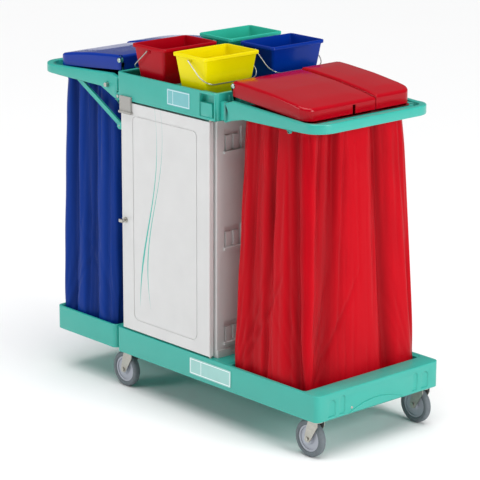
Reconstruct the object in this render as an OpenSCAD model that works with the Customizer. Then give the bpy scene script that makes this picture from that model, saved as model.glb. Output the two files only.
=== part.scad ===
// Housekeeping cart: moulded base on four swivel casters, closed cabinet, bucket tray and two bag holders.
// X runs along the length towards the red bag, Y from the door to the back, Z up from the floor.

/* [Base] */
// Length of the main base
base_len = 1010; // [960:5:1060]
// Width of the base and the tray, front to back
cart_w = 566; // [550:2:600]
// Height of the underside of the base above the floor
base_z = 135; // [135:1:150]
// Height of the base moulding
base_h = 90; // [80:1:100]
// Length of the folding platform
platform_len = 334; // [320:2:350]

/* [Casters] */
// Diameter of the wheels
wheel_d = 125; // [110:1:125]
// Width of the tyres
wheel_w = 26; // [22:1:28]
// Distance of each axle behind its swivel axis
caster_trail = 28; // [20:1:32]

/* [Cabinet] */
// Width of the cabinet along the cart
cab_w = 462; // [440:2:470]
// Gap between the left end of the base and the cabinet
cab_in = 39; // [30:1:45]
// Thickness of the side panels
side_t = 18; // [14:1:22]
// Thickness of the door
door_t = 20; // [18:1:22]

/* [Tray] */
// Height of the underside of the tray above the floor
tray_z = 1039; // [1000:1:1080]
// Height of the tray walls
tray_h = 92; // [80:1:100]
// How far the tray stands out past each side of the cabinet
tray_over = 23; // [20:1:26]

/* [Buckets] */
// Outer size of the bucket rim along the cart
bucket_x = 166; // [150:1:170]
// Room that each bucket rim leaves free in its half of the tray, across the cart
bucket_room = 42; // [38:1:60]
// Height of a bucket
bucket_h = 190; // [170:1:200]
// Diameter of the bail wire
wire_d = 4; // [3:0.5:5]

/* [Bag holders] */
// Distance from the middle of the cabinet to the tip of each handle
holder_out = 710; // [690:5:720]
// Distance from the middle of the cabinet to the free edge of each lid
lid_out = 632; // [610:2:640]
// Height of the lid skirts
lid_skirt = 42; // [36:1:46]

/* [Fits] */
// Radial clearance of pins and axles that turn
pin_gap = 0.1; // [0.05:0.05:0.3]
// Gap left around soft bags and between separate bodies
soft_gap = 0.5; // [0.3:0.1:1]

/* [Hidden] */
fine = 48;
teal = "#3fb5a5";
steel = "#b4b0a8";
white = "#d8d8d6";
red = "#c1112b";
blue = "#0f3a85";
yellow = "#f5e400";
green = "#38c8b0";

// Places along the cart. Side s is -1 for the left holder and 1 for the right one.
base_x0 = -(base_len + cab_in + cab_w / 2 - holder_out) / 2;
base_x1 = base_x0 + base_len;
cab_x0 = base_x0 + cab_in;
cab_x1 = cab_x0 + cab_w;
cab_c = (cab_x0 + cab_x1) / 2;
half_w = cart_w / 2;
base_top = base_z + base_h;
wall = 5;
platform_x1 = base_x0 - 4;
platform_x0 = platform_x1 - platform_len;
platform_z = base_z + 5;

// Wells that the feet of the bags stand in: [x0, x1, half width]
well_right = [cab_x1 + 74, base_x1 - 78, half_w - 21];
well_left = [platform_x0 + 12, platform_x1 - 12, half_w - 13];
well_floor = base_z + 15;

// Hinge between the base and the folding platform
fold_x = base_x0 + 8;
fold_z = base_top - 8;
fold_d = 7;
hinge_y0 = half_w - 50;
hinge_y1 = half_w - 26;

// Casters
caster_in = 38;
plate_t = 3;
race_t = 3.5;
fork_t = 2.5;
crown_z = base_z - plate_t - race_t;
hub_d = wheel_d - 36;
axle_d = 8;
caster_x = [base_x0 + caster_in, base_x1 - caster_in];
caster_y = [-half_w + caster_in, half_w - caster_in];

// Cabinet
cab_y0 = -half_w + door_t + 4;
cab_y1 = half_w - 20;
back_t = 9;
door_x0 = cab_x0;
door_x1 = cab_x1 - 8;
door_z0 = base_top + 7;
door_z1 = tray_z - 6;
door_pin_d = 6;
door_axis = [door_x1 - 6, -half_w + door_t / 2 + 1];
knob_at = [cab_x0 + 20, tray_z - 419];

// Tray
tray_x0 = cab_x0 - tray_over;
tray_x1 = cab_x1 + tray_over;
tray_top = tray_z + tray_h;
tray_floor = 6;
pocket_x = tray_x1 - 80;

// Buckets
rim_z = tray_z + tray_floor + bucket_h;
bucket_y = half_w - bucket_room;
bucket_pitch = [cab_w / 4 - 10.5, half_w - 13.5 - bucket_y / 2];
taper = 0.134;
lip_h = 12;
lip_out = 4;
bucket_wall = 3;
bail_z = rim_z - 17;
bail_r = 112;
bail_rest = 40;
bail_bend = 45;
ear_t = 5;
ear_y = bucket_y / 2 - lip_out - taper * 17;
bail_y = ear_y + ear_t + wire_d / 2 + 2;

// Bag holders, measured outwards (u) from the middle of the cabinet
root_u = cab_w / 2 + tray_over + 16;
hinge_z = tray_z + 1;
rail_out = half_w - 19;
rail_in = rail_out - 20;
ledge_in = rail_in - 16;
band_w = 26;
ledge_u0 = root_u + 22;
ledge_u1 = lid_out + 8;
ledge_z = tray_z + 27;
ledge_t = 18;
ring_gap = soft_gap + 1.2;
fold_pin_d = 10;

// Struts of the folding holder
strut_low = [root_u - 6, tray_z - 101];
strut_high = [root_u + 245, tray_z + 39];
strut_len = norm(strut_high - strut_low);
strut_angle = atan2(strut_high[1] - strut_low[1], strut_high[0] - strut_low[0]);
strut_t = 8;
strut_h = 16;
strut_pin_d = 6;
strut_y = (rail_in + rail_out) / 2;
lock_at = [root_u + 52, tray_z + 34];
lock_d = 8;

// Lids
lid_u0 = root_u + 12;
lid_pin = [root_u + 20, tray_z + 119];
lid_rod_d = 8;
lid_half = rail_in - 4;
lid_seam = 69;
lid_t = 3;

// Outline of a rectangle with rounded corners, as a list of points
function round_box(x0, x1, y0, y1, r, n = 6) = [
    for (c = [[x1 - r, y1 - r, 0], [x0 + r, y1 - r, 90], [x0 + r, y0 + r, 180], [x1 - r, y0 + r, 270]])
        for (k = [0:n]) [c[0] + r * cos(c[2] + 90 * k / n), c[1] + r * sin(c[2] + 90 * k / n)]];

// Upright block with rounded corners
module block(x0, x1, y0, y1, z0, z1, r) {
    translate([0, 0, z0]) linear_extrude(z1 - z0) polygon(round_box(x0, x1, y0, y1, r));
}

// Plain box between two corners
module box(x0, x1, y0, y1, z0, z1) {
    translate([x0, y0, z0]) cube([x1 - x0, y1 - y0, z1 - z0]);
}

// Cylinder along Y from y0 to y1
module rod_y(x, z, y0, y1, d) {
    translate([x, y0, z]) rotate([-90, 0, 0]) cylinder(d = d, h = y1 - y0, $fn = fine);
}

// Side outline in the XZ plane, drawn between y0 and y1
module side_plate(points, y0, y1) {
    translate([0, y1, 0]) rotate([90, 0, 0]) linear_extrude(y1 - y0) polygon(points);
}

// Copies to both sides of the middle of the cart
module both_y() {
    children();
    mirror([0, 1, 0]) children();
}

// Puts a shape drawn outwards along +X on side s of the cabinet
module side(s) {
    translate([cab_c, 0, 0]) mirror([s < 0 ? 1 : 0, 0, 0]) children();
}

// Hollow moulding with a crest, a ledge inside it and a well for a bag
module moulding(x0, x1, z0, well, crest_in) {
    difference() {
        block(x0, x1, -half_w, half_w, z0, base_top, 20);
        difference() {
            block(x0 + wall, x1 - wall, -half_w + wall, half_w - wall, z0 - 1, base_top - wall, 15);
            block(well[0] - wall, well[1] + wall, -well[2] - wall, well[2] + wall, z0 - 2, base_top, 15);
            for (x = caster_x, y = caster_y) translate([x, y, 0]) cylinder(d = 76, h = base_top, $fn = fine);
        }
        block(well[0], well[1], -well[2], well[2], well_floor, base_top + 1, 10);
        block(well[0] - crest_in, well[1] + crest_in, -well[2] - crest_in, well[2] + crest_in,
            base_top - 4, base_top + 1, 12);
    }
}

// Row of upright slots in the end face of the base
module end_slots() {
    for (s = [-1, 1], slot = [[215, 32, 55], [168, 24, 61]])
        translate([base_x1 - 4, s * slot[0], base_z + 10]) {
            translate([0, -slot[1] / 2, 0]) cube([5, slot[1], slot[2] - slot[1] / 2]);
            translate([0, 0, slot[2] - slot[1] / 2]) rotate([0, 90, 0])
                cylinder(d = slot[1], h = 5, $fn = fine);
        }
}

module base_frame() color(teal) {
    difference() {
        union() {
            moulding(base_x0, base_x1, base_z, well_right, 8);
            both_y() box(base_x0 + 1, base_x0 + 20, hinge_y0 - 8, hinge_y1 + 8, fold_z - 12, base_top - 1);
        }
        end_slots();
        for (x = caster_x, y = caster_y) caster_bolt_holes(x, y);
        both_y() box(base_x0 - 1, base_x0 + 18, hinge_y0, hinge_y1, fold_z - 9, base_top + 1);
        both_y() rod_y(fold_x, fold_z, hinge_y0 - 8, hinge_y1 + 8, fold_d);
        translate([door_axis[0], door_axis[1], base_top - wall - 1])
            cylinder(d = door_pin_d, h = 8, $fn = fine);
    }
}

module base_plate() color("#e8eeee") {
    block_on_front(109, 316, base_z + 16, base_top - 16, 5, 2.5);
}

// Flat plate with rounded corners on the front face
module block_on_front(x0, x1, z0, z1, r, t) {
    translate([0, -half_w, 0]) rotate([90, 0, 0]) linear_extrude(t) polygon(round_box(x0, x1, z0, z1, r));
}

module platform() color(teal) {
    difference() {
        union() {
            moulding(platform_x0, platform_x1, platform_z, well_left, 4);
            both_y() {
                box(platform_x1 - 3, fold_x, hinge_y0 + 1, hinge_y1 - 1, fold_z - 7, fold_z + 7);
                rod_y(fold_x, fold_z, hinge_y0 + 1, hinge_y1 - 1, 14);
            }
        }
        both_y() rod_y(fold_x, fold_z, hinge_y0, hinge_y1, fold_d + 2 * pin_gap);
    }
}

module platform_pins() color(steel) {
    both_y() rod_y(fold_x, fold_z, hinge_y0 - 8, hinge_y1 + 8, fold_d);
}

module caster_bolt_holes(x, y) {
    for (a = [45:90:315])
        translate([x + 27 * cos(a), y + 27 * sin(a), base_z - plate_t - 1])
            cylinder(d = 6, h = plate_t + 19, $fn = 24);
}

module caster_plates() color(steel) {
    for (x = caster_x, y = caster_y) difference() {
        union() {
            block(x - 27, x + 27, y - 27, y + 27, base_z - plate_t, base_z, 6);
            translate([x, y, crown_z]) cylinder(d = 40, h = race_t + 0.5, $fn = fine);
        }
        caster_bolt_holes(x, y);
    }
}

module caster_bolts() color(steel) {
    for (x = caster_x, y = caster_y, a = [45:90:315]) translate([x + 27 * cos(a), y + 27 * sin(a), 0]) {
        translate([0, 0, base_z - plate_t - 3]) cylinder(d = 9, h = 3, $fn = 6);
        translate([0, 0, base_z - plate_t - 1]) cylinder(d = 6, h = plate_t + 18, $fn = 24);
    }
}

module fork(x, y) color(steel) {
    ax = x - caster_trail;
    az = wheel_d / 2;
    gap = wheel_w / 2 + 2;
    difference() {
        union() {
            translate([x, y, crown_z - fork_t]) cylinder(d = 44, h = fork_t, $fn = fine);
            box(ax + 4, x + 18, y - gap - fork_t, y + gap + fork_t, crown_z - fork_t, crown_z);
            for (s = [-1, 1]) translate([0, y + s * (gap + fork_t / 2), 0])
                side_plate([[ax - 11, az - 4], [ax - 6, az - 11], [ax + 6, az - 11], [ax + 14, az - 4],
                    [x + 18, crown_z - 16], [x + 18, crown_z - 0.5], [ax + 4, crown_z - 0.5],
                    [ax - 10, az + 12]], -fork_t / 2, fork_t / 2);
        }
        rod_y(ax, az, y - 30, y + 30, axle_d);
    }
}

module hub(x, y) color("#a7abb5") {
    ax = x - caster_trail;
    az = wheel_d / 2;
    translate([ax, y, az]) rotate([90, 0, 0]) difference() {
        union() {
            cylinder(d = hub_d, h = wheel_w - 8, center = true, $fn = 72);
            cylinder(d = 34, h = wheel_w + 2, center = true, $fn = fine);
        }
        for (s = [-1, 1]) translate([0, 0, s * (wheel_w / 2 - 5.5)])
            rotate_extrude($fn = 72) translate([20, -2]) square([hub_d / 2 - 26, 4]);
        cylinder(d = axle_d + 2 * pin_gap, h = wheel_w + 4, center = true, $fn = fine);
    }
}

module tyre(x, y) color("#6f7a80") {
    ax = x - caster_trail;
    w = wheel_w / 2;
    r = wheel_d / 2;
    profile = [[hub_d / 2, w - 4], [hub_d / 2 + 4, w], [r - 5, w - 1], [r - 1, w - 5], [r, 5]];
    translate([ax, y, wheel_d / 2]) rotate([90, 0, 0]) rotate_extrude($fn = 72)
        polygon([for (s = [-1, 1], p = s < 0 ? profile : [for (k = [4:-1:0]) profile[k]]) [p[0], s * p[1]]]);
}

module axle(x, y) color(steel) {
    ax = x - caster_trail;
    az = wheel_d / 2;
    reach = wheel_w / 2 + 2 + fork_t;
    rod_y(ax, az, y - reach, y + reach, axle_d);
    rod_y(ax, az, y - reach - 4, y - reach, 15);
    translate([ax, y + reach, az]) rotate([-90, 0, 0]) cylinder(d = 15, h = 5, $fn = 6);
}

// Height of each set of clip pockets in the side panels
clip_z = [for (k = [0:2]) base_top + 40 + 328 * k];
clip_w = 76;
clip_h = 82;

// Side panel with three sets of clip pockets near each edge, drawn with its outer face at +X
module side_panel(x_in, x_out) {
    d = x_out > x_in ? 1 : -1;
    difference() {
        block(min(x_in, x_out), max(x_in, x_out), cab_y0, cab_y1, base_top, tray_z, 4);
        for (z = clip_z, s = [-1, 1]) {
            clip_y = s < 0 ? cab_y0 + 34 : cab_y1 - 34 - clip_w;
            pocket(x_out, d, clip_y, clip_y + clip_w, z + 8, z + clip_h);
        }
        for (k = [0:2]) box(min(x_in - d, x_in + d * 12), max(x_in - d, x_in + d * 12), cab_y0 + 124,
            cab_y1 - 124, base_top + 20 + k * 273, base_top + 255 + k * 273);
    }
    for (z = clip_z, s = [-1, 1]) {
        clip_y = s < 0 ? cab_y0 + 34 : cab_y1 - 34 - clip_w;
        for (bar = [8, 42]) pocket(x_out - d * 8.5, -d, clip_y + bar, clip_y + bar + 20, z + 7, z + 60);
        pocket(x_out - d, -d, clip_y - 3, clip_y + clip_w + 3, z, z + 9);
    }
}

// Box that is 8 deep, into the panel from face x along -d, used for pockets and for the bars inside them
module pocket(x, d, y0, y1, z0, z1) {
    box(min(x - 8 * d, x + d), max(x - 8 * d, x + d), y0, y1, z0, z1);
}

module side_panel_left() color(white) {
    side_panel(cab_x0 + side_t, cab_x0);
}

module side_panel_right() color(white) {
    side_panel(cab_x1 - side_t, cab_x1);
}

module back_panel() color(white) {
    x0 = cab_x0 + side_t;
    x1 = cab_x1 - side_t;
    difference() {
        box(x0, x1, cab_y1 - back_t, cab_y1, base_top, tray_z);
        box(x0 + 40, x1 - 40, cab_y1 - 3, cab_y1 + 1, base_top + 50, tray_z - 48);
    }
    box(x0 + 46, x1 - 46, cab_y1 - 4, cab_y1 - 1, base_top + 56, tray_z - 54);
}

module cabinet_floor() color(white) {
    box(cab_x0 + side_t, cab_x1 - side_t, cab_y0 + 8, cab_y1 - back_t, base_top, base_top + 8);
}

// Shelf with a folded front edge, resting on two ledges that are part of it
module shelf(z) color("#c8ccd0") {
    x0 = cab_x0 + side_t;
    x1 = cab_x1 - side_t;
    box(x0, x1, cab_y0 + 20, cab_y1 - back_t, z, z + 6);
    box(x0, x1, cab_y0 + 20, cab_y0 + 26, z - 14, z + 1);
    for (x = [x0, x1 - 6]) box(x, x + 6, cab_y0 + 20, cab_y1 - back_t, z - 14, z + 1);
}

module lower_shelf() shelf(base_top + 262);
module upper_shelf() shelf(base_top + 535);

// White feet and kick rails that hold the cabinet on the base
module corner_feet() color("#e4e4e2") {
    for (x = [cab_x0 - 6, cab_x1], s = [-1, 1]) {
        y0 = s < 0 ? cab_y0 + 2 : cab_y1 - 62;
        box(x, x + 6, y0, y0 + 60, base_top, base_top + 26);
    }
    for (x = [cab_x0 - 3, cab_x1]) box(x, x + 3, cab_y0 + 60, cab_y1 - 60, base_top, base_top + 12);
}

// Hollow-backed door with a rounded groove around its panel
module door() color(white) {
    difference() {
        block(door_x0, door_x1, -half_w, -half_w + door_t, door_z0, door_z1, 3);
        box(door_x0 + 14, door_x1 - 14, -half_w + 5, -half_w + door_t + 1, door_z0 + 14, door_z1 - 14);
        translate([0, -half_w + 1.5, 0]) rotate([90, 0, 0]) linear_extrude(3) difference() {
            polygon(round_box(door_x0 + 61, door_x1 - 61, door_z0 + 40, door_z1 - 39, 22));
            polygon(round_box(door_x0 + 65, door_x1 - 65, door_z0 + 44, door_z1 - 43, 18));
        }
        for (z = [door_z0 - 1, door_z1 - 11]) translate([door_axis[0], door_axis[1], z])
            cylinder(d = door_pin_d + 2 * pin_gap, h = 12, $fn = fine);
        rod_y(knob_at[0], knob_at[1], -half_w - 1, -half_w + door_t + 1, 12 + 2 * pin_gap);
    }
    translate([0, -half_w + door_t, 0]) rotate([90, 0, 0]) linear_extrude(door_t - 1) difference() {
        polygon(round_box(knob_at[0] - 15, knob_at[0] + 15, knob_at[1] - 15, knob_at[1] + 15, 4));
        translate(knob_at) circle(d = 12 + 2 * pin_gap, $fn = fine);
    }
}

module door_pins() color(steel) {
    for (span = [[base_top - 6, door_z0 + 10], [door_z1 - 10, tray_z + 1]])
        translate([door_axis[0], door_axis[1], span[0]])
            cylinder(d = door_pin_d, h = span[1] - span[0], $fn = fine);
    for (z = [base_top, door_z1 + 0.5])
        translate([door_axis[0], door_axis[1], z]) cylinder(d = 12, h = 5.5, $fn = fine);
}

// Knob on the front of the door, its shaft and the cam behind the door
module door_lock() color(steel) {
    rod_y(knob_at[0], knob_at[1], -half_w - 2, -half_w + door_t + 1, 12);
    rod_y(knob_at[0], knob_at[1], -half_w - 4, -half_w, 20);
    rod_y(knob_at[0], knob_at[1], -half_w - 16, -half_w - 3, 9);
    box(knob_at[0] - 9, knob_at[0] + 9, -half_w - 24, -half_w - 14, knob_at[1] - 5, knob_at[1] + 5);
    box(knob_at[0] - 7, knob_at[0] + 7, -half_w + door_t + 0.3, -half_w + door_t + 3, knob_at[1] - 7,
        knob_at[1] + 26);
}

module door_catch() color("#a8a8a4") {
    x0 = door_x0 + 1;
    z0 = door_z1 - 32;
    box(x0, x0 + 58, -half_w - 7, -half_w, z0, door_z1 + 20);
    box(x0 - 1, x0 + 62, -half_w - 12, -half_w, z0 - 6, z0 + 1);
}

// Open tray with bucket wells, corner pockets and ribbed ends
module top_tray() color(teal) {
    difference() {
        block(tray_x0, tray_x1, -half_w, half_w, tray_z, tray_top, 18);
        block(tray_x0 + wall, tray_x1 - wall, -half_w + wall, half_w - wall, tray_z + tray_floor,
            tray_top + 1, 14);
        translate([door_axis[0], door_axis[1], tray_z - 1]) cylinder(d = door_pin_d, h = 2, $fn = fine);
        both_y() box(pocket_x, pocket_x + 70, half_w - 23, half_w + 1, tray_z + 8, tray_top - 8);
    }
    box(tray_x0 + 2, tray_x1 - 2, -9, 9, tray_z + 2, tray_top - 14);
    box(cab_c - 9, cab_c + 9, -half_w + 2, half_w - 2, tray_z + 2, tray_top - 14);
    difference() {
        block(tray_x0, tray_x1, -half_w, half_w, tray_top - 8, tray_top, 18);
        block(tray_x0 + 13, tray_x1 - 13, -half_w + 9, half_w - 9, tray_top - 9, tray_top + 1, 9);
    }
    // Ribs on each end
    for (s = [-1, 1]) side(s) both_y() for (y = [rail_in - 68:16:rail_in - 20])
        box(tray_x1 - cab_c - 1, tray_x1 - cab_c + 4, y - 3, y + 3, tray_z + 12, tray_top - 12);
    // Tool pockets at the right of the long sides, with a lower block inside
    both_y() {
        difference() {
            box(pocket_x - 5, pocket_x + 75, half_w - 28, half_w - 1, tray_z + 1, tray_top - 3);
            box(pocket_x, pocket_x + 70, half_w - 23, half_w + 1, tray_z + 8, tray_top - 8);
        }
        box(pocket_x - 1, pocket_x + 56, half_w - 24, half_w - 5, tray_z + 7, tray_z + 54);
    }
    // Lugs that carry the folding holder
    side(-1) both_y() difference() {
        union() {
            box(tray_x1 - cab_c - 2, root_u, rail_in - 8, rail_in - 1, hinge_z - 1, hinge_z + 16);
            rod_y(root_u, hinge_z, rail_in - 8, rail_in - 1, 24);
        }
        rod_y(root_u, hinge_z, rail_in - 20, rail_out + 1, fold_pin_d);
    }
}

module tray_label() color("#e6efee") {
    block_on_front(-3, 112, tray_z + 20, tray_top - 17, 4, 1.2);
}

// Outline of a bucket at a depth below its rim
function bucket_half(depth) = [for (size = [bucket_x, bucket_y]) size / 2 - lip_out - taper * depth];

module bucket_hull(inset, depth0, depth1) {
    hull() for (depth = [depth0, depth1]) {
        h = bucket_half(depth);
        translate([0, 0, -depth]) linear_extrude(0.01)
            polygon(round_box(-h[0] + inset, h[0] - inset, -h[1] + inset, h[1] - inset, 14, 5));
    }
}

module bucket(x, y) {
    translate([x, y, rim_z]) difference() {
        union() {
            bucket_hull(0, 1, bucket_h);
            block(-bucket_x / 2, bucket_x / 2, -bucket_y / 2, bucket_y / 2, -lip_h, 0, 12);
            both_y() rod_y(0, bail_z - rim_z, ear_y - 4, ear_y + ear_t, 22);
        }
        bucket_hull(bucket_wall, -1, bucket_h - bucket_wall);
        both_y() rod_y(0, bail_z - rim_z, ear_y - 8, ear_y + ear_t + 1, wire_d + 2 * pin_gap);
    }
}

// Wire bail hanging towards side s of its bucket
module bail(x, y, s) color(steel) {
    translate([x, y, bail_z]) mirror([s < 0 ? 1 : 0, 0, 0]) rotate([0, bail_rest, 0]) {
        both_y() {
            rod_y(0, 0, ear_y - 2, bail_y, wire_d);
            translate([0, bail_y, 0]) sphere(d = wire_d + 1, $fn = 24);
            translate([0, bail_y, 0]) rotate([0, 90, 0])
                cylinder(d = wire_d, h = bail_r - bail_bend, $fn = 24);
            translate([bail_r - bail_bend, bail_y - bail_bend, 0]) rotate_extrude(angle = 90, $fn = fine)
                translate([bail_bend, 0]) circle(d = wire_d, $fn = 24);
        }
        rod_y(bail_r, 0, -bail_y + bail_bend, bail_y - bail_bend, wire_d);
    }
}

bucket_at = [[cab_c - bucket_pitch[0], -bucket_pitch[1]], [cab_c + bucket_pitch[0], -bucket_pitch[1]],
    [cab_c - bucket_pitch[0], bucket_pitch[1]], [cab_c + bucket_pitch[0], bucket_pitch[1]]];

// Side view of a holder: arms that taper from the tray to the handle
function holder_side(root_low) = [[root_u + 4, root_low], [root_u + 38, root_low + 12],
    [root_u + 94, tray_z + 22], [holder_out, tray_z + 26], [holder_out, tray_z + 58],
    [lid_out, tray_z + 56], [root_u + 38, tray_z + 74], [root_u + 4, tray_z + 62]];

// Upright ear that carries one end of a lid rod, just inside the skirt of the lid
module lid_ear() {
    difference() {
        union() {
            box(lid_pin[0] - 7, lid_pin[0] + 7, lid_half - 12, lid_half - 6, ledge_z + 2, lid_pin[1]);
            box(lid_pin[0] - 7, ledge_u0 + 10, lid_half - 12, rail_in + 1, ledge_z + 2, ledge_z + ledge_t - 1);
            rod_y(lid_pin[0], lid_pin[1], lid_half - 12, lid_half - 6, 15);
        }
        rod_y(lid_pin[0], lid_pin[1], lid_half - 20, lid_half, lid_rod_d);
    }
}

// Frame of a holder: two arms, the handle band around the end and the ledge that carries the bag
module holder(root_low) {
    both_y() lid_ear();
    intersection() {
        difference() {
            block(root_u - 60, holder_out, -rail_out, rail_out, tray_z - 60, tray_top, 70);
            block(root_u - 90, holder_out - band_w, -rail_in, rail_in, tray_z - 61, tray_top + 1, 50);
        }
        side_plate(holder_side(root_low), -half_w, half_w);
    }
    difference() {
        block(ledge_u0, ledge_u1, -rail_in - 1, rail_in + 1, ledge_z, ledge_z + ledge_t, 14);
        block(ledge_u0 + 16, ledge_u1 - 16, -ledge_in, ledge_in, ledge_z - 1, ledge_z + ledge_t + 1, 10);
    }
}

module holder_right() color(teal) {
    side(1) difference() {
        union() {
            holder(tray_z - 2);
            both_y() box(tray_x1 - cab_c, root_u + 8, rail_in, rail_out, tray_z + 4, tray_z + 66);
            both_y() rod_y(lid_out - 60, tray_z + 20, rail_in + 4, rail_out - 4, 16);
        }
        both_y() for (z = [tray_z + 20, tray_z + 50]) rotate_bolt(z) cylinder(d = 6, h = 40, $fn = 24);
    }
}

// Bolts through the tray end into each arm, along the cart
module rotate_bolt(z) {
    translate([tray_x1 - cab_c - 12, (rail_in + rail_out) / 2, z]) rotate([0, 90, 0]) children();
}

module holder_right_bolts() color(steel) {
    side(1) both_y() for (z = [tray_z + 20, tray_z + 50]) rotate_bolt(z) {
        translate([0, 0, 12]) cylinder(d = 6, h = 16, $fn = 24);
    }
}

module holder_left() color(teal) {
    side(-1) difference() {
        union() {
            holder(tray_z - 14);
            both_y() rod_y(root_u, hinge_z, rail_in, rail_out, 30);
            both_y() rod_y(lock_at[0], lock_at[1], rail_in, rail_out + 3, 20);
        }
        both_y() rod_y(root_u, hinge_z, rail_in - 1, rail_out + 1, fold_pin_d + 2 * pin_gap);
        both_y() rod_y(lock_at[0], lock_at[1], ledge_in - 1, rail_out + 4, lock_d + 2 * pin_gap);
        both_y() box(strut_high[0] - 60, strut_high[0] + 76, strut_y - strut_t / 2 - 1,
            strut_y + strut_t / 2 + 1, tray_z, strut_high[1] + 13);
    }
}

// Pins that the folding arms and the lower ends of the struts turn on
module fold_pins() color(steel) {
    side(-1) both_y() rod_y(root_u, hinge_z, rail_in - 8, rail_out + 2, fold_pin_d);
    side(-1) both_y() rod_y(strut_low[0], strut_low[1], rail_in - 3, rail_out + 1, strut_pin_d);
}

// Legs that carry the lower end of the struts, hung from the tray
module strut_brackets() color(teal) {
    side(-1) both_y() difference() {
        union() {
            box(tray_x1 - cab_c - 14, tray_x1 - cab_c - 4, rail_in - 8, rail_out, strut_low[1] - 14, tray_z);
            for (y = [rail_in - 1, rail_out - 5]) {
                box(tray_x1 - cab_c - 5, strut_low[0], y, y + 5, strut_low[1] - 12, strut_low[1] + 12);
                rod_y(strut_low[0], strut_low[1], y, y + 5, 24);
            }
        }
        rod_y(strut_low[0], strut_low[1], rail_in - 12, rail_out + 1, strut_pin_d);
    }
}

module strut() {
    side(-1) difference() {
        translate([strut_low[0], 0, strut_low[1]]) rotate([0, -strut_angle, 0]) {
            box(0, strut_len, strut_y - strut_t / 2, strut_y + strut_t / 2, -strut_h / 2, strut_h / 2);
            for (x = [0, strut_len]) rod_y(x, 0, strut_y - strut_t / 2, strut_y + strut_t / 2, strut_h + 0.6);
        }
        rod_y(strut_low[0], strut_low[1], strut_y - 10, strut_y + 10, strut_pin_d + 2 * pin_gap);
    }
}

module strut_front() color(teal) mirror([0, 1, 0]) strut();
module strut_back() color(teal) strut();

module lock_pin() {
    side(-1) {
        rod_y(lock_at[0], lock_at[1], rail_in - 6, rail_out + 6, lock_d);
        rod_y(lock_at[0], lock_at[1], rail_out + 3, rail_out + 14, 15);
    }
}

module lock_pin_front() color(steel) mirror([0, 1, 0]) lock_pin();
module lock_pin_back() color(steel) lock_pin();

// Side outlines of a lid flap: outer shape and the hollow under it, for a top that is raised by lift
function lid_side(lift) = [[lid_u0, tray_top + 36 - lid_skirt], [lid_out, tray_top + 4 - lid_skirt],
    [lid_out, tray_top - 2 + lift],
    [lid_out - 12, tray_top + 6 + lift], [(lid_u0 + lid_out) / 2, tray_top + 30 + lift],
    [lid_u0 + 24, tray_top + 43 + lift], [lid_u0 + 6, tray_top + 40 + lift], [lid_u0, tray_top + 34 + lift]];
function lid_hollow(lift) = [[lid_u0 + lid_t, 0], [lid_out - lid_t, 0], [lid_out - lid_t, tray_top - 4 + lift],
    [lid_out - 14, tray_top + 3 + lift], [(lid_u0 + lid_out) / 2, tray_top + 27 + lift],
    [lid_u0 + 24, tray_top + 40 + lift], [lid_u0 + 8, tray_top + 37 + lift],
    [lid_u0 + lid_t, tray_top + 33 + lift]];

// Flap between y0 and y1, with two knuckles bored for the rod
module lid_flap(y0, y1, lift) {
    difference() {
        union() {
            difference() {
                side_plate(lid_side(lift), y0, y1);
                side_plate(lid_hollow(lift), y0 + lid_t, y1 - lid_t);
            }
            for (y = [y0 + 12, y1 - 24])
                box(lid_u0 + 1, lid_u0 + 22, y, y + 12, lid_pin[1] - 12, lid_pin[1] + 14);
        }
        rod_y(lid_pin[0], lid_pin[1], y0 - 1, y1 + 1, lid_rod_d + 2 * pin_gap);
        for (s = [-1, 1]) box(lid_u0 - 1, lid_pin[0] + 10, s * (lid_half - 9) - 4, s * (lid_half - 9) + 4,
            tray_z, lid_pin[1] + 60);
    }
}

// Front flap, with a narrow slit in its end skirt
module lid_front_flap() {
    difference() {
        lid_flap(-lid_half, lid_seam - 1, 0);
        box(lid_out - lid_t - 1, lid_out + 1, -36, -24, tray_top + 3 - lid_skirt, tray_top - 9);
    }
}

module lid_right_front() color(red) side(1) lid_front_flap();
module lid_right_back() color(red) side(1) lid_flap(lid_seam + 1, lid_half, 5);
module lid_left_front() color(blue) side(-1) lid_front_flap();
module lid_left_back() color(blue) side(-1) lid_flap(lid_seam + 1, lid_half, 5);

module lid_rod(s) color(steel) {
    side(s) rod_y(lid_pin[0], lid_pin[1], -lid_half - 4, lid_half + 4, lid_rod_d);
}

// Bag: open-topped thin shell between its foot and the ledge of its holder
module bag(foot, top_u0, top_u1) {
    top = [top_u0, top_u1, ledge_in - ring_gap];
    difference() {
        bag_hull(foot, top, 0, 0);
        bag_hull(foot, top, 2, 1);
    }
}

// Solid from the foot up to a straight neck through the ledge, shrunk by t all round
module bag_hull(foot, top, t, over) {
    neck_z = ledge_z - 2;
    hull() {
        translate([0, 0, well_floor + soft_gap + t]) linear_extrude(0.01)
            polygon(round_box(foot[0] + t, foot[1] - t, -foot[2] + t, foot[2] - t, 30, 5));
        translate([0, 0, neck_z]) linear_extrude(0.01)
            polygon(round_box(top[0] + t, top[1] - t, -top[2] + t, top[2] - t, 12, 5));
    }
    translate([0, 0, neck_z]) linear_extrude(ledge_t + 3 + over)
        polygon(round_box(top[0] + t, top[1] - t, -top[2] + t, top[2] - t, 12, 5));
}

module bag_red() color(red)
    bag([well_right[0] + 2, well_right[1] - 2, well_right[2] - 4],
        cab_c + ledge_u0 + 16 + ring_gap, cab_c + ledge_u1 - 16 - ring_gap);
module bag_blue() color(blue)
    bag([well_left[0] + 7, well_left[1] - 2, well_left[2] - 4],
        cab_c - ledge_u1 + 16 + ring_gap, cab_c - ledge_u0 - 16 - ring_gap);

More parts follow.
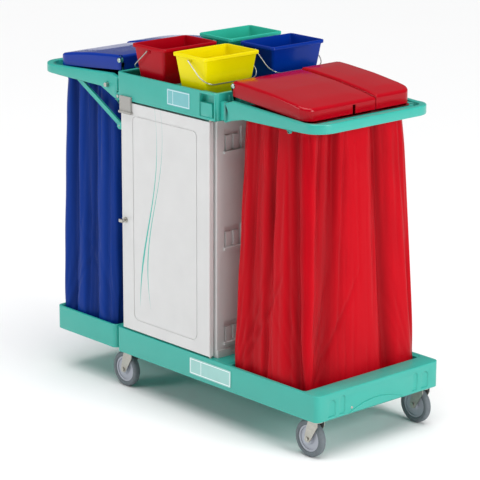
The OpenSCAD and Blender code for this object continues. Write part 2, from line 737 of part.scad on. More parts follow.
base_frame();
base_plate();
platform();
platform_pins();
caster_plates();
caster_bolts();
fork(caster_x[0], caster_y[0]);  // fork_front_left
fork(caster_x[1], caster_y[0]);  // fork_front_right
fork(caster_x[0], caster_y[1]);  // fork_back_left
fork(caster_x[1], caster_y[1]);  // fork_back_right
hub(caster_x[0], caster_y[0]);  // hub_front_left
hub(caster_x[1], caster_y[0]);  // hub_front_right
hub(caster_x[0], caster_y[1]);  // hub_back_left
hub(caster_x[1], caster_y[1]);  // hub_back_right
tyre(caster_x[0], caster_y[0]);  // tyre_front_left
tyre(caster_x[1], caster_y[0]);  // tyre_front_right
tyre(caster_x[0], caster_y[1]);  // tyre_back_left
tyre(caster_x[1], caster_y[1]);  // tyre_back_right
axle(caster_x[0], caster_y[0]);  // axle_front_left
axle(caster_x[1], caster_y[0]);  // axle_front_right
axle(caster_x[0], caster_y[1]);  // axle_back_left
axle(caster_x[1], caster_y[1]);  // axle_back_right
side_panel_left();
side_panel_right();
back_panel();
cabinet_floor();
lower_shelf();
upper_shelf();
corner_feet();
door();
door_pins();
door_lock();
door_catch();
top_tray();
tray_label();
color(red) bucket(bucket_at[0][0], bucket_at[0][1]);  // bucket_red
color(yellow) bucket(bucket_at[1][0], bucket_at[1][1]);  // bucket_yellow
color(green) bucket(bucket_at[2][0], bucket_at[2][1]);  // bucket_green
color(blue) bucket(bucket_at[3][0], bucket_at[3][1]);  // bucket_blue
bail(bucket_at[0][0], bucket_at[0][1], -1);  // bail_red
bail(bucket_at[1][0], bucket_at[1][1], 1);  // bail_yellow
bail(bucket_at[2][0], bucket_at[2][1], -1);  // bail_green
bail(bucket_at[3][0], bucket_at[3][1], 1);  // bail_blue
holder_right();
holder_right_bolts();
holder_left();
fold_pins();
strut_brackets();
strut_front();
strut_back();
lock_pin_front();
lock_pin_back();
lid_right_front();
lid_right_back();
lid_left_front();
lid_left_back();
lid_rod(1);  // lid_rod_right
lid_rod(-1);  // lid_rod_left
bag_red();
bag_blue();
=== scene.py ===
"""Housekeeping cart: finishes for its moulded parts, and its lids, buckets, bags, fittings and studio stage."""

import math
import random

import bmesh
import bpy
import numpy as np
from bpy.props import FloatProperty, FloatVectorProperty, IntProperty, PointerProperty
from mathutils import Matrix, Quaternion, Vector


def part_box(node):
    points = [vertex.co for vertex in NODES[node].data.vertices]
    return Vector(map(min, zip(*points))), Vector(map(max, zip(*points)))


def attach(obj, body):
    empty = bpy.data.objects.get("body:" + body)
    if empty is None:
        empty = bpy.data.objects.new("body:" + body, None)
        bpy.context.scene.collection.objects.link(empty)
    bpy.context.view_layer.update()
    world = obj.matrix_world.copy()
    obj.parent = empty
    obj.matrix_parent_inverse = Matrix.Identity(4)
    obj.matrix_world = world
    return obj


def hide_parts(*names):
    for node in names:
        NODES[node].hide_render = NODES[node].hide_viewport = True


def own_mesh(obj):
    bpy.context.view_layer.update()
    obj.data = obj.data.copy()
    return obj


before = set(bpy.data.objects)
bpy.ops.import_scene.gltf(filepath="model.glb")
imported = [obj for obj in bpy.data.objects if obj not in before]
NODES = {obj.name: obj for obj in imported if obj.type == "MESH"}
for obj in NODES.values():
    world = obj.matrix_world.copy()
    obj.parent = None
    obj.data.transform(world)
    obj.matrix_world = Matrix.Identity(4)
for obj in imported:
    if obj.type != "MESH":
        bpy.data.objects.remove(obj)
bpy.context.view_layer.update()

bl_info = {
    "name": "Housekeeping cart",
    "version": (1, 0, 0),
    "blender": (4, 5, 0),
    "location": "View3D > Sidebar > Cart",
    "description": "Builds the lids, buckets, bags, fittings and finishes of a housekeeping cart",
    "category": "Object",
}


def linear(hex_code):
    """Linear colour with alpha from an sRGB hex code."""
    parts = [int(hex_code[i : i + 2], 16) / 255 for i in (0, 2, 4)]
    return tuple(c / 12.92 if c <= 0.04045 else ((c + 0.055) / 1.055) ** 2.4 for c in parts) + (1.0,)


def colour(name, description, hex_code):
    return FloatVectorProperty(
        name=name, description=description, subtype="COLOR", size=4, min=0, max=1, default=linear(hex_code)
    )


def length(name, description, metres):
    return FloatProperty(name=name, description=description, default=metres, min=0, unit="LENGTH")


class CartColours(bpy.types.PropertyGroup):
    """Colours of the cart's plastics, metals and cloth."""

    teal: colour("Frame", "Moulded base, tray and holders", "2EAE9F")
    white: colour("Cabinet", "Panels and door", "D9D9D8")
    grey: colour("Catch and shelves", "Grey mouldings inside and above the door", "A9A7A2")
    red: colour("Red plastic", "Red lid and bucket", "B20016")
    blue: colour("Blue plastic", "Blue lid and bucket", "00329A")
    yellow: colour("Yellow plastic", "Yellow bucket", "F7E600")
    green: colour("Green plastic", "Green bucket", "36BFA6")
    red_cloth: colour("Red cloth", "Coated nylon of the right bag", "BC0014")
    blue_cloth: colour("Blue cloth", "Coated nylon of the left bag", "0A3488")
    zinc: colour("Zinc", "Plated steel of the casters and pins", "B9B6AE")
    tyre: colour("Tyre", "Rubber of the wheels", "666E73")
    hub: colour("Hub", "Nylon of the wheel centres", "B2B6C0")
    stripe: colour("Stripe", "Thin lines on the door", "3DB6A8")


class CartSizes(bpy.types.PropertyGroup):
    """Sizes of the shaped details."""

    lid_corner: length("Lid corner", "Radius of the lids' outer corners seen from above", 0.042)
    lid_edge: length("Lid edge", "Radius between the top of a lid and its skirt", 0.009)
    lid_wall: length("Lid wall", "Thickness of the lids", 0.003)
    bucket_corner: length("Bucket corner", "Radius of the upright corners of a bucket", 0.011)
    bucket_lip: length("Bucket lip", "Height of the turned rim of a bucket", 0.012)
    fold_depth: length("Fold depth", "Depth of the deepest folds of a bag", 0.013)
    folds: IntProperty(name="Folds", description="Small gathers round the mouth of a bag", default=34, min=8, max=80)
    stitch_pitch: length("Stitch pitch", "Spacing of the stitches on the seams of the bags", 0.0075)
    screw_head: length("Screw head", "Diameter of the panel screws", 0.010)
    moulded_edge: length("Moulded edge", "Radius of the outer edges of the teal mouldings", 0.0022)
    cap_width: length("Pin cap", "Diameter of the caps on the lid pins", 0.018)


# ---------------------------------------------------------------- materials


def add(tree, kind, inputs=(), **settings):
    """Adds a node with its settings, its input values and its links."""
    made = tree.nodes.new(kind)
    for key, value in settings.items():
        setattr(made, key, value)
    for key, value in dict(inputs).items():
        if isinstance(value, bpy.types.NodeSocket):
            tree.links.new(value, made.inputs[key])
        else:
            made.inputs[key].default_value = value
    return made


def calc(tree, operation, *values):
    """Result of a maths node on numbers or sockets."""
    return add(tree, "ShaderNodeMath", enumerate(values), operation=operation).outputs[0]


def blend(tree, factor, first, second):
    """Colour that goes from the first to the second as the factor goes from 0 to 1."""
    return add(tree, "ShaderNodeMix", {"Factor": factor, 6: first, 7: second}, data_type="RGBA").outputs[2]


def noise(tree, place, scale, detail=2.0, roughness=0.5):
    """Noise from 0 to 1, with patches about 1 / scale metres across."""
    inputs = {"Vector": place, "Scale": scale, "Detail": detail, "Roughness": roughness}
    return add(tree, "ShaderNodeTexNoise", inputs).outputs["Fac"]


def spread(tree, value, low, high, start=0.0, end=1.0):
    """Number that goes from low to high as the value goes from start to end."""
    inputs = {"Value": value, "From Min": start, "From Max": end, "To Min": low, "To Max": high}
    return add(tree, "ShaderNodeMapRange", inputs).outputs[0]


def bump(tree, height, strength, distance, **normal):
    """Normal of a surface raised by the height."""
    inputs = {"Height": height, "Strength": strength, "Distance": distance, **normal}
    return add(tree, "ShaderNodeBump", inputs).outputs[0]


def feed(tree, shader, sockets):
    """Links sockets to the shader's inputs of these names."""
    for key, value in sockets.items():
        tree.links.new(value, shader.inputs[key])


def new_material(name, **constants):
    """A material with a Principled shader whose constant values are set on its own sockets."""
    material = bpy.data.materials.new(name)
    material.use_nodes = True
    tree = material.node_tree
    tree.nodes.clear()
    shader = add(tree, "ShaderNodeBsdfPrincipled", constants)
    add(tree, "ShaderNodeOutputMaterial", {"Surface": shader.outputs[0]})
    place = add(tree, "ShaderNodeTexCoord").outputs["Object"]
    return material, tree, shader, place


def tints(rgba, dark, light):
    """A darker and a lighter shade of a colour."""
    return tuple(c * dark for c in rgba[:3]) + (1,), tuple(min(1, c * light) for c in rgba[:3]) + (1,)


def paled(rgba, share):
    """The colour moved towards white by a share."""
    return tuple(c + (1 - c) * share for c in rgba[:3]) + (1,)


def moulded_plastic(name, rgba, rough, coat=0.0, grain=0.0, edge=0.0, scuff=0.1, **constants):
    """Injection-moulded thermoplastic: an even colour that clouds slightly over 80 mm, a fine 2 mm orange peel,
    edges that are a little rounded and paler, and scuffs that dull the gloss in 30 mm patches."""
    edge_radius, peel_depth = 0.0012, 0.0006
    constants = {"IOR": 1.5, "Coat Weight": coat, "Coat Roughness": 0.08, **constants}
    material, tree, shader, place = new_material(name, **constants)
    base = blend(tree, noise(tree, place, 12.0, 3.0), *tints(rgba, 0.93, 1.05))
    soft = add(tree, "ShaderNodeBevel", {"Radius": edge_radius}, samples=4).outputs[0]
    flat = add(tree, "ShaderNodeNewGeometry").outputs["Normal"]
    # 1 where the rounded normal is the flat one, and less on an edge
    level = add(tree, "ShaderNodeVectorMath", {0: soft, 1: flat}, operation="DOT_PRODUCT").outputs["Value"]
    worn = spread(tree, level, 0.0, edge, 0.99, 0.80)
    scuffs = noise(tree, place, 34.0, 5.0, 0.65)
    peel = noise(tree, place, 480.0)
    feed(
        tree,
        shader,
        {
            "Base Color": blend(tree, worn, base, paled(rgba, 0.45)),
            "Roughness": spread(tree, scuffs, rough - scuff / 2, rough + scuff, 0.3, 0.75),
            "Normal": bump(tree, peel, grain, peel_depth, Normal=soft),
        },
    )
    return material


def striped_door(name, rgba, stripe):
    """The cabinet's gloss plastic with two thin printed lines that run down the door in plain waves."""
    material = moulded_plastic(name, rgba, 0.30, coat=0.25, scuff=0.03)
    tree = material.node_tree
    shader, place = (next(n for n in tree.nodes if n.type == kind) for kind in ("BSDF_PRINCIPLED", "TEX_COORD"))
    below = shader.inputs["Base Color"].links[0].from_socket
    xyz = add(tree, "ShaderNodeSeparateXYZ", {0: place.outputs["Object"]}).outputs
    # The lines are inside the panel and on its front face only.
    panel_y = -0.2826
    front = calc(tree, "LESS_THAN", xyz["Y"], panel_y)
    foot, widest, top, thinnest = 0.32, 0.50, 0.96, 0.0003
    for middle, swing, wave, start, wide in (
        (-0.104, 0.046, 1.15, 0.62, 0.0042),
        (-0.070, 0.040, 0.95, 0.70, 0.0024),
    ):
        angle = calc(tree, "MULTIPLY", calc(tree, "ADD", xyz["Z"], -start), 2 * math.pi / wave)
        centre = calc(tree, "MULTIPLY_ADD", calc(tree, "SINE", angle), swing, middle)
        off = calc(tree, "ABSOLUTE", calc(tree, "SUBTRACT", xyz["X"], centre))
        # Each line is widest at about a quarter of its height and thins out towards both ends.
        up = spread(tree, xyz["Z"], wide, thinnest, widest, top)
        down = spread(tree, xyz["Z"], 0.0, wide, foot, widest)
        inside = calc(tree, "LESS_THAN", off, calc(tree, "MINIMUM", up, down))
        below = blend(tree, calc(tree, "MULTIPLY", inside, front), below, stripe)
    feed(tree, shader, {"Base Color": below})
    return material


def printed_plate(name, face, line, node_name, border, split):
    """Printed polypropylene plate: a plain field with a border line and one upright division, and no lettering."""
    border_half, bar_half = 0.0014, 0.0012
    material, tree, shader, place = new_material(name, **{"Roughness": 0.32, "IOR": 1.5, "Coat Weight": 0.3})
    low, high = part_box(node_name)
    xyz = add(tree, "ShaderNodeSeparateXYZ", {0: place}).outputs
    from_edge = [
        calc(tree, "SUBTRACT", (b - a) / 2, calc(tree, "ABSOLUTE", calc(tree, "SUBTRACT", xyz[axis], (a + b) / 2)))
        for axis, a, b in (("X", low.x, high.x), ("Z", low.z, high.z))
    ]
    nearest = calc(tree, "MINIMUM", *from_edge)
    ring = calc(tree, "COMPARE", nearest, border, border_half)
    bar = calc(tree, "COMPARE", xyz["X"], low.x + split, bar_half)
    barred = calc(tree, "MULTIPLY", bar, calc(tree, "GREATER_THAN", nearest, border))
    field = blend(tree, noise(tree, place, 30.0), *tints(face, 0.92, 1.04))
    feed(tree, shader, {"Base Color": blend(tree, calc(tree, "MAXIMUM", ring, barred), field, line)})
    return material


def plated_steel(name, rgba, rough, streak_mm, spangle=0.0):
    """Zinc-plated or drawn steel: grey with faint streaks along X and, on pressed sheet, a crystal spangle 6 mm
    across."""
    material, tree, shader, place = new_material(name, Metallic=1.0)
    streaks_per_m = 1000 / streak_mm
    drawn = add(tree, "ShaderNodeMapping", {"Vector": place, "Scale": (60.0, streaks_per_m, streaks_per_m)}).outputs[0]
    cells = add(tree, "ShaderNodeTexVoronoi", {"Vector": place, "Scale": 160.0}).outputs["Color"]
    grey = add(tree, "ShaderNodeSeparateColor", {0: cells}).outputs[0]
    level = calc(tree, "MULTIPLY_ADD", grey, spangle, noise(tree, drawn, 1.0, 3.0))
    base = blend(tree, level, *tints(rgba, 0.72, 1.12))
    feed(tree, shader, {"Base Color": base, "Roughness": spread(tree, level, rough - 0.07, rough + 0.1)})
    return material


def tyre_rubber(name, rgba):
    """Non-marking rubber: matt grey with pale floor dust in soft 10 mm patches."""
    material, tree, shader, place = new_material(name, IOR=1.5)
    dust = noise(tree, place, 95.0, 4.0)
    base = blend(tree, dust, *tints(rgba, 0.8, 1.35))
    matt = spread(tree, dust, 0.48, 0.8)
    feed(tree, shader, {"Base Color": base, "Roughness": matt, "Normal": bump(tree, dust, 0.15, 0.0004)})
    return material


def coated_nylon(name, rgba):
    """Coated woven nylon: satin, with a plain weave, and fine creases that follow the drop of the cloth. The real
    threads are 0.4 mm apart, too fine to show, so the weave is drawn coarser."""
    constants = {"IOR": 1.45, "Specular IOR Level": 0.10, "Sheen Weight": 0.01, "Sheen Roughness": 0.4}
    material, tree, shader, _ = new_material(name, **constants)
    weave_scale = 72.343
    cloth = add(tree, "ShaderNodeUVMap", uv_map="Cloth").outputs[0]
    # This per-point attribute holds how far the cloth stands out in a fold, and is used to paint shade and light into
    # the colour.
    fold = add(tree, "ShaderNodeAttribute", attribute_name="painted_fold_shading").outputs["Fac"]
    drop = add(tree, "ShaderNodeMapping", {"Vector": cloth, "Scale": (70.0, 5.0, 1.0)}).outputs[0]
    streaks = noise(tree, drop, 1.0, 4.0)
    # Painted shade and painted light: the colour is darker in the fold valleys and paler on the fold ridges, and the
    # stretched streak noise also shifts the tone along the drop.
    level = calc(tree, "MULTIPLY_ADD", streaks, 0.35, fold)
    waves = [
        add(tree, "ShaderNodeTexWave", {"Vector": cloth, "Scale": weave_scale}, bands_direction=axis).outputs["Fac"]
        for axis in "XY"
    ]
    crease = bump(tree, streaks, 0.35, 0.003)
    feed(
        tree,
        shader,
        {
            "Base Color": blend(tree, spread(tree, level, 0.0, 1.0, 0.2, 0.85), *tints(rgba, 0.62, 1.06)),
            "Roughness": spread(tree, streaks, 0.30, 0.44),
            "Normal": bump(tree, calc(tree, "MULTIPLY", *waves), 0.08, 0.0003, Normal=crease),
        },
    )
    return material


def twisted_thread(name, rgba):
    """Twisted polyester thread, a shade paler than its cloth. The real twist is 0.8 mm long and is drawn longer."""
    material, tree, shader, place = new_material(name, Roughness=0.6)
    twist = add(tree, "ShaderNodeTexWave", {"Vector": place, "Scale": 80.0}, bands_direction="DIAGONAL")
    feed(tree, shader, {"Base Color": blend(tree, twist.outputs["Fac"], rgba, paled(rgba, 0.18))})
    return material


def floor_paint(name):
    """Matt white studio floor with the faintest unevenness in its paint."""
    material, tree, shader, place = new_material(name, **{"Roughness": 0.9, "Specular IOR Level": 0.1})
    base = blend(tree, noise(tree, place, 0.7), (0.93, 0.93, 0.93, 1), (0.95, 0.95, 0.95, 1))
    feed(tree, shader, {"Base Color": base})
    return material


# ---------------------------------------------------------------- shapes

MERGE_WITHIN = 1e-6  # points of one mesh nearer than this are one point


def finish(names, material):
    """Gives CAD nodes their material."""
    for name in names:
        data = NODES[name].data
        data.materials.clear()
        data.materials.append(material)


def linked(name, data):
    """An object in the scene."""
    made = bpy.data.objects.new(name, data)
    bpy.context.scene.collection.objects.link(made)
    return made


def baked(helper):
    """The plain mesh of an object after its modifiers. The object goes."""
    bpy.context.view_layer.update()
    done = bpy.data.meshes.new_from_object(helper.evaluated_get(bpy.context.evaluated_depsgraph_get()))
    bpy.data.objects.remove(helper)
    return done


def edited(data, edit):
    """The mesh after an edit of its bmesh."""
    mend = bmesh.new()
    mend.from_mesh(data)
    edit(mend)
    mend.to_mesh(data)
    mend.free()
    return data


def piece(name, data, material, body, replaces=()):
    """An object at the origin that rides on a body and stands for CAD nodes."""
    made = linked(name, data)
    data.name = name
    data.materials.clear()
    data.materials.append(material)
    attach(made, body)
    if replaces:
        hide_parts(*replaces)
    return made


def smooth(data, degrees=32):
    """The mesh shaded smooth, with sharp edges where its faces turn by more than an angle."""
    data.polygons.foreach_set("use_smooth", [True] * len(data.polygons))
    data.set_sharp_from_angle(angle=math.radians(degrees))
    return data


def outline(x0, x1, y0, y1, radii, steps=8, side=1):
    """Rectangle seen from above with a radius for each corner, anticlockwise from the +X +Y corner. Each straight
    side is cut into a number of parts."""
    points = []
    corners = ((x1, y1, -1, -1, 0), (x0, y1, 1, -1, 90), (x0, y0, 1, 1, 180), (x1, y0, -1, 1, 270))
    for (x, y, sx, sy, start), r in zip(corners, radii):
        for k in range(steps + 1):
            a = math.radians(start + 90 * k / steps)
            points.append((x + sx * r + r * math.cos(a), y + sy * r + r * math.sin(a)))
    if side > 1:
        spread = []
        for i, p in enumerate(points):
            spread.append(p)
            if i % (steps + 1) == steps:
                q = points[(i + 1) % len(points)]
                spread += [(p[0] + (q[0] - p[0]) * k / side, p[1] + (q[1] - p[1]) * k / side) for k in range(1, side)]
        points = spread
    return np.array(points)


def even_outline(x0, x1, y0, y1, r, count):
    """The same outline as evenly spaced points from the middle of its +X side, with the outward direction at each."""
    fine = outline(x0, x1, y0, y1, (r,) * 4, 16)
    closed = np.vstack([fine, fine[:1]])
    run = np.concatenate([[0], np.cumsum(np.linalg.norm(np.diff(closed, axis=0), axis=1))])
    at = np.linspace(0, run[-1], count, endpoint=False)
    from_start = (at + run[-1] - (y1 - y0) / 2 + r) % run[-1]
    xy = np.stack([np.interp(from_start, run, closed[:, k]) for k in (0, 1)], axis=1)
    step = np.roll(xy, -1, 0) - np.roll(xy, 1, 0)
    out = np.stack([step[:, 1], -step[:, 0]], axis=1)
    return xy, out / np.linalg.norm(out, axis=1)[:, None], at, run[-1]


def loft(rings, first=False, last=False):
    """Mesh that joins rings of equal count, with its ends filled on request."""
    count = len(rings[0])
    points = np.concatenate(rings)
    faces = [
        (i * count + j, i * count + (j + 1) % count, (i + 1) * count + (j + 1) % count, (i + 1) * count + j)
        for i in range(len(rings) - 1)
        for j in range(count)
    ]
    if first:
        faces.append(tuple(reversed(range(count))))
    if last:
        faces.append(tuple(range((len(rings) - 1) * count, len(rings) * count)))
    data = bpy.data.meshes.new("loft")
    data.from_pydata(points.tolist(), [], faces)
    data.validate()
    return data


def triangulated_cap(data):
    """The mesh with its many-sided faces cut into short triangles, so that they follow a curved surface."""

    def cut(mend):
        bmesh.ops.triangulate(mend, faces=[f for f in mend.faces if len(f.verts) > 4], ngon_method="BEAUTY")

    return edited(data, cut)


def joined(parts):
    """One mesh from several."""
    bm = bmesh.new()
    for data in parts:
        bm.from_mesh(data)
    data = bpy.data.meshes.new("joined")
    bm.to_mesh(data)
    bm.free()
    return data


def outward(data):
    """The mesh with its faces turned outwards."""

    def turn(mend):
        bmesh.ops.remove_doubles(mend, verts=mend.verts, dist=MERGE_WITHIN)
        bmesh.ops.recalc_face_normals(mend, faces=mend.faces)

    return edited(data, turn)


def turned(profile, axis_at, direction, count=40):
    """Solid of revolution: profile points are (distance along the axis, radius)."""
    along = Vector(direction).normalized()
    across = along.orthogonal().normalized()
    up = along.cross(across)
    at = Vector(axis_at)
    angles = np.linspace(0, 2 * math.pi, count, endpoint=False)
    rings = [
        np.array([tuple(at + along * d + (across * math.cos(a) + up * math.sin(a)) * r) for a in angles])
        for d, r in profile
    ]
    return loft(rings, True, True)


def block(x0, x1, y0, y1, z0, z1):
    """Box between two planes in each direction. Its X planes can come in either order."""
    x0, x1 = sorted((x0, x1))
    return loft([np.array([(x1, y1, z), (x0, y1, z), (x0, y0, z), (x1, y0, z)]) for z in (z0, z1)], True, True)


def shaped(data, modifiers):
    """The mesh after its modifiers, each given as (type, settings)."""
    helper = linked("helper", data)
    for kind, settings in modifiers:
        made = helper.modifiers.new(kind.title(), kind)
        for key, value in settings.items():
            setattr(made, key, value)
    return baked(helper)


def cut_away(data, cutters):
    """The mesh with boxes cut out of it."""
    tools = [linked("cutter", cutter) for cutter in cutters]
    done = shaped(data, [("BOOLEAN", {"operation": "DIFFERENCE", "solver": "EXACT", "object": t}) for t in tools])
    for tool in tools:
        bpy.data.objects.remove(tool)
    return done


# ---------------------------------------------------------------- geometry nodes


def repeat_tree(name, head_nodes):
    """Tree that sets one small shape on every point of a mesh, turned to the point's facing, then paints it."""
    tree = bpy.data.node_groups.new(name, "GeometryNodeTree")
    face = tree.interface
    face.new_socket("Geometry", in_out="INPUT", socket_type="NodeSocketGeometry")
    for label, default in (("Width", 0.01), ("Height", 0.002)):
        made = face.new_socket(label, in_out="INPUT", socket_type="NodeSocketFloat")
        made.default_value = default
    face.new_socket("Material", in_out="INPUT", socket_type="NodeSocketMaterial")
    face.new_socket("Geometry", in_out="OUTPUT", socket_type="NodeSocketGeometry")
    entry = add(tree, "NodeGroupInput")
    facing = add(tree, "GeometryNodeInputNamedAttribute", {"Name": "facing"}, data_type="FLOAT_VECTOR")
    turn = add(tree, "FunctionNodeAlignRotationToVector", {"Vector": facing.outputs["Attribute"]}, axis="Z")
    instances = {"Points": entry.outputs["Geometry"], "Instance": head_nodes(tree, entry), "Rotation": turn.outputs[0]}
    placed = add(tree, "GeometryNodeInstanceOnPoints", instances)
    real = add(tree, "GeometryNodeRealizeInstances", {0: placed.outputs[0]})
    painted = add(tree, "GeometryNodeSetMaterial", {"Geometry": real.outputs[0], "Material": entry.outputs["Material"]})
    add(tree, "NodeGroupOutput", {0: painted.outputs[0]})
    return tree


def screw_head(tree, entry):
    """Screw head: a low cone round a six-sided shank."""
    width, height = entry.outputs["Width"], entry.outputs["Height"]
    half, top, shank = (calc(tree, "MULTIPLY", width, share) for share in (0.5, 0.34, 0.16))
    cone_inputs = {"Vertices": 20, "Radius Top": top, "Radius Bottom": half, "Depth": height}
    cone = add(tree, "GeometryNodeMeshCone", cone_inputs).outputs["Mesh"]
    stem = add(tree, "GeometryNodeMeshCylinder", {"Vertices": 6, "Radius": shank, "Depth": height}).outputs["Mesh"]
    lifted = add(tree, "GeometryNodeTransform", {"Geometry": stem, "Translation": (0, 0, 0.0004)}).outputs[0]
    both = add(tree, "GeometryNodeJoinGeometry")
    tree.links.new(cone, both.inputs[0])
    tree.links.new(lifted, both.inputs[0])
    return both.outputs[0]


def stitch_bead(tree, entry):
    """One thread of a seam: a slim six-sided bead lying along the seam."""
    width, height = entry.outputs["Width"], entry.outputs["Height"]
    radius = calc(tree, "MULTIPLY", height, 0.5)
    bead = add(tree, "GeometryNodeMeshUVSphere", {"Segments": 6, "Rings": 5, "Radius": radius}).outputs["Mesh"]
    longer = calc(tree, "DIVIDE", width, height)
    scale = add(tree, "ShaderNodeCombineXYZ", {"X": 1.0, "Y": 1.0, "Z": longer}).outputs[0]
    return add(tree, "GeometryNodeTransform", {"Geometry": bead, "Scale": scale}).outputs[0]


def repeated(tree, points, facings, width, height, material):
    """Mesh of the tree's small shape at each point."""
    data = bpy.data.meshes.new("points")
    data.from_pydata([tuple(p) for p in points], [], [])
    facing = data.attributes.new("facing", "FLOAT_VECTOR", "POINT")
    facing.data.foreach_set("vector", np.array(facings, np.float32).ravel())
    helper = linked("helper", data)
    made = helper.modifiers.new("Repeat", "NODES")
    made.node_group = tree
    keys = {s.name: s.identifier for s in tree.interface.items_tree if s.in_out == "INPUT"}
    made[keys["Width"]] = width
    made[keys["Height"]] = height
    made[keys["Material"]] = material
    return baked(helper)


# ---------------------------------------------------------------- bags

FOOT_CORNER = 0.014  # radius of the upright corners of a bag's foot
FLOOR_ROUND = 0.009  # radius where a bag's wall meets its floor

# Folds that are placed one by one, as (where, width, depth, drift) in metres. Where is the distance round the foot,
# anticlockwise from the middle of its +X side. On the front it is the place along X instead.
SIDE_FOLDS = {
    "red": (
        (-0.118, 0.036, -0.016, -0.045),
        (0.088, 0.022, -0.013, 0.035),
        (-0.232, 0.012, 0.008, 0.0),
        (-0.020, 0.050, 0.007, 0.0),
        (0.160, 0.040, 0.006, 0.02),
        (0.215, 0.010, -0.006, 0.03),
    ),
    "blue": (),
}
FRONT_FOLDS = {
    "red": (
        (0.590, 0.016, -0.012, 0.02),
        (0.545, 0.014, 0.006, -0.01),
        (0.480, 0.016, -0.007, -0.03),
        (0.425, 0.018, 0.006, 0.01),
        (0.360, 0.016, -0.007, 0.02),
    ),
    "blue": (
        (-0.555, 0.020, -0.010, 0.01),
        (-0.500, 0.030, 0.008, 0.0),
        (-0.440, 0.018, -0.012, 0.02),
        (-0.385, 0.026, 0.008, 0.0),
        (-0.335, 0.016, -0.009, -0.02),
    ),
}


def bag_folds(run, height, total, seed, depth, count, placed, corners):
    """How far the cloth stands out, in metres, at each point of a bag. run is the distance round the foot and height
    goes from 0 at the foot to 1 at the mouth. Placed folds are (where, width, depth, drift) in metres."""
    rng = random.Random(seed)
    out = np.zeros(np.broadcast(run, height).shape)
    fade = 16

    def fold(where, width, amount, drift, low=0, high=1):
        nonlocal out
        centre = where + drift * (1 - height)
        gap = (run - centre + total / 2) % total - total / 2
        rise = 1 / (1 + np.exp(-(height - low) * fade)) if low > 0 else 1.0
        fall = 1 / (1 + np.exp((height - high) * fade)) if high < 1 else 1.0
        out = out + amount * np.exp(-((gap / width) ** 2)) * rise * fall

    def deep(least, most):
        return depth * rng.uniform(least, most)

    for where, width, amount, drift in placed:
        fold(where, width, amount, drift)
    # Long soft folds over the whole drop
    long_count = 15
    for k in range(long_count):
        where = (k + rng.uniform(-0.35, 0.35)) / long_count * total
        sign = -1 if k % 2 else 1
        fold(where, rng.uniform(0.022, 0.05), sign * deep(0.3, 0.6), rng.uniform(-0.05, 0.05))
    # Fine creases over the whole drop
    for _ in range(count):
        fold(rng.uniform(0, total), rng.uniform(0.004, 0.008), deep(-0.28, 0.1), rng.uniform(-0.03, 0.03))
    # Gathers that start at the mouth and fade out below it
    for k in range(count):
        where = (k + rng.uniform(-0.4, 0.4)) / count * total
        width, amount = rng.uniform(0.007, 0.014), -deep(0.2, 0.6)
        fold(where, width, amount, rng.uniform(-0.06, 0.06), low=rng.uniform(0.25, 0.85))
    # Puckers that fan out from the foot's corners
    fan, fan_width = 9, 0.62
    for corner in corners:
        for k in range(fan):
            slope = (k + rng.uniform(0.2, 0.8)) / fan * fan_width * (1 if k % 2 else -0.8)
            width, amount = rng.uniform(0.006, 0.011), deep(-0.42, -0.2)
            fold(corner + slope, width, amount, -slope, high=rng.uniform(0.2, 0.5))
    # Short puckers above the foot
    for k in range(count):
        where = (k + rng.uniform(-0.4, 0.4)) / count * total
        width, amount = rng.uniform(0.005, 0.012), deep(-0.35, 0.25)
        fold(where, width, amount, rng.uniform(-0.10, 0.10), high=rng.uniform(0.08, 0.4))
    # Faint ripples across the drop where the cloth hangs slack
    ripple = 0.0012
    return out + ripple * np.sin(height * 23 + run * 31 + seed) * np.sin(run * 17 + seed)


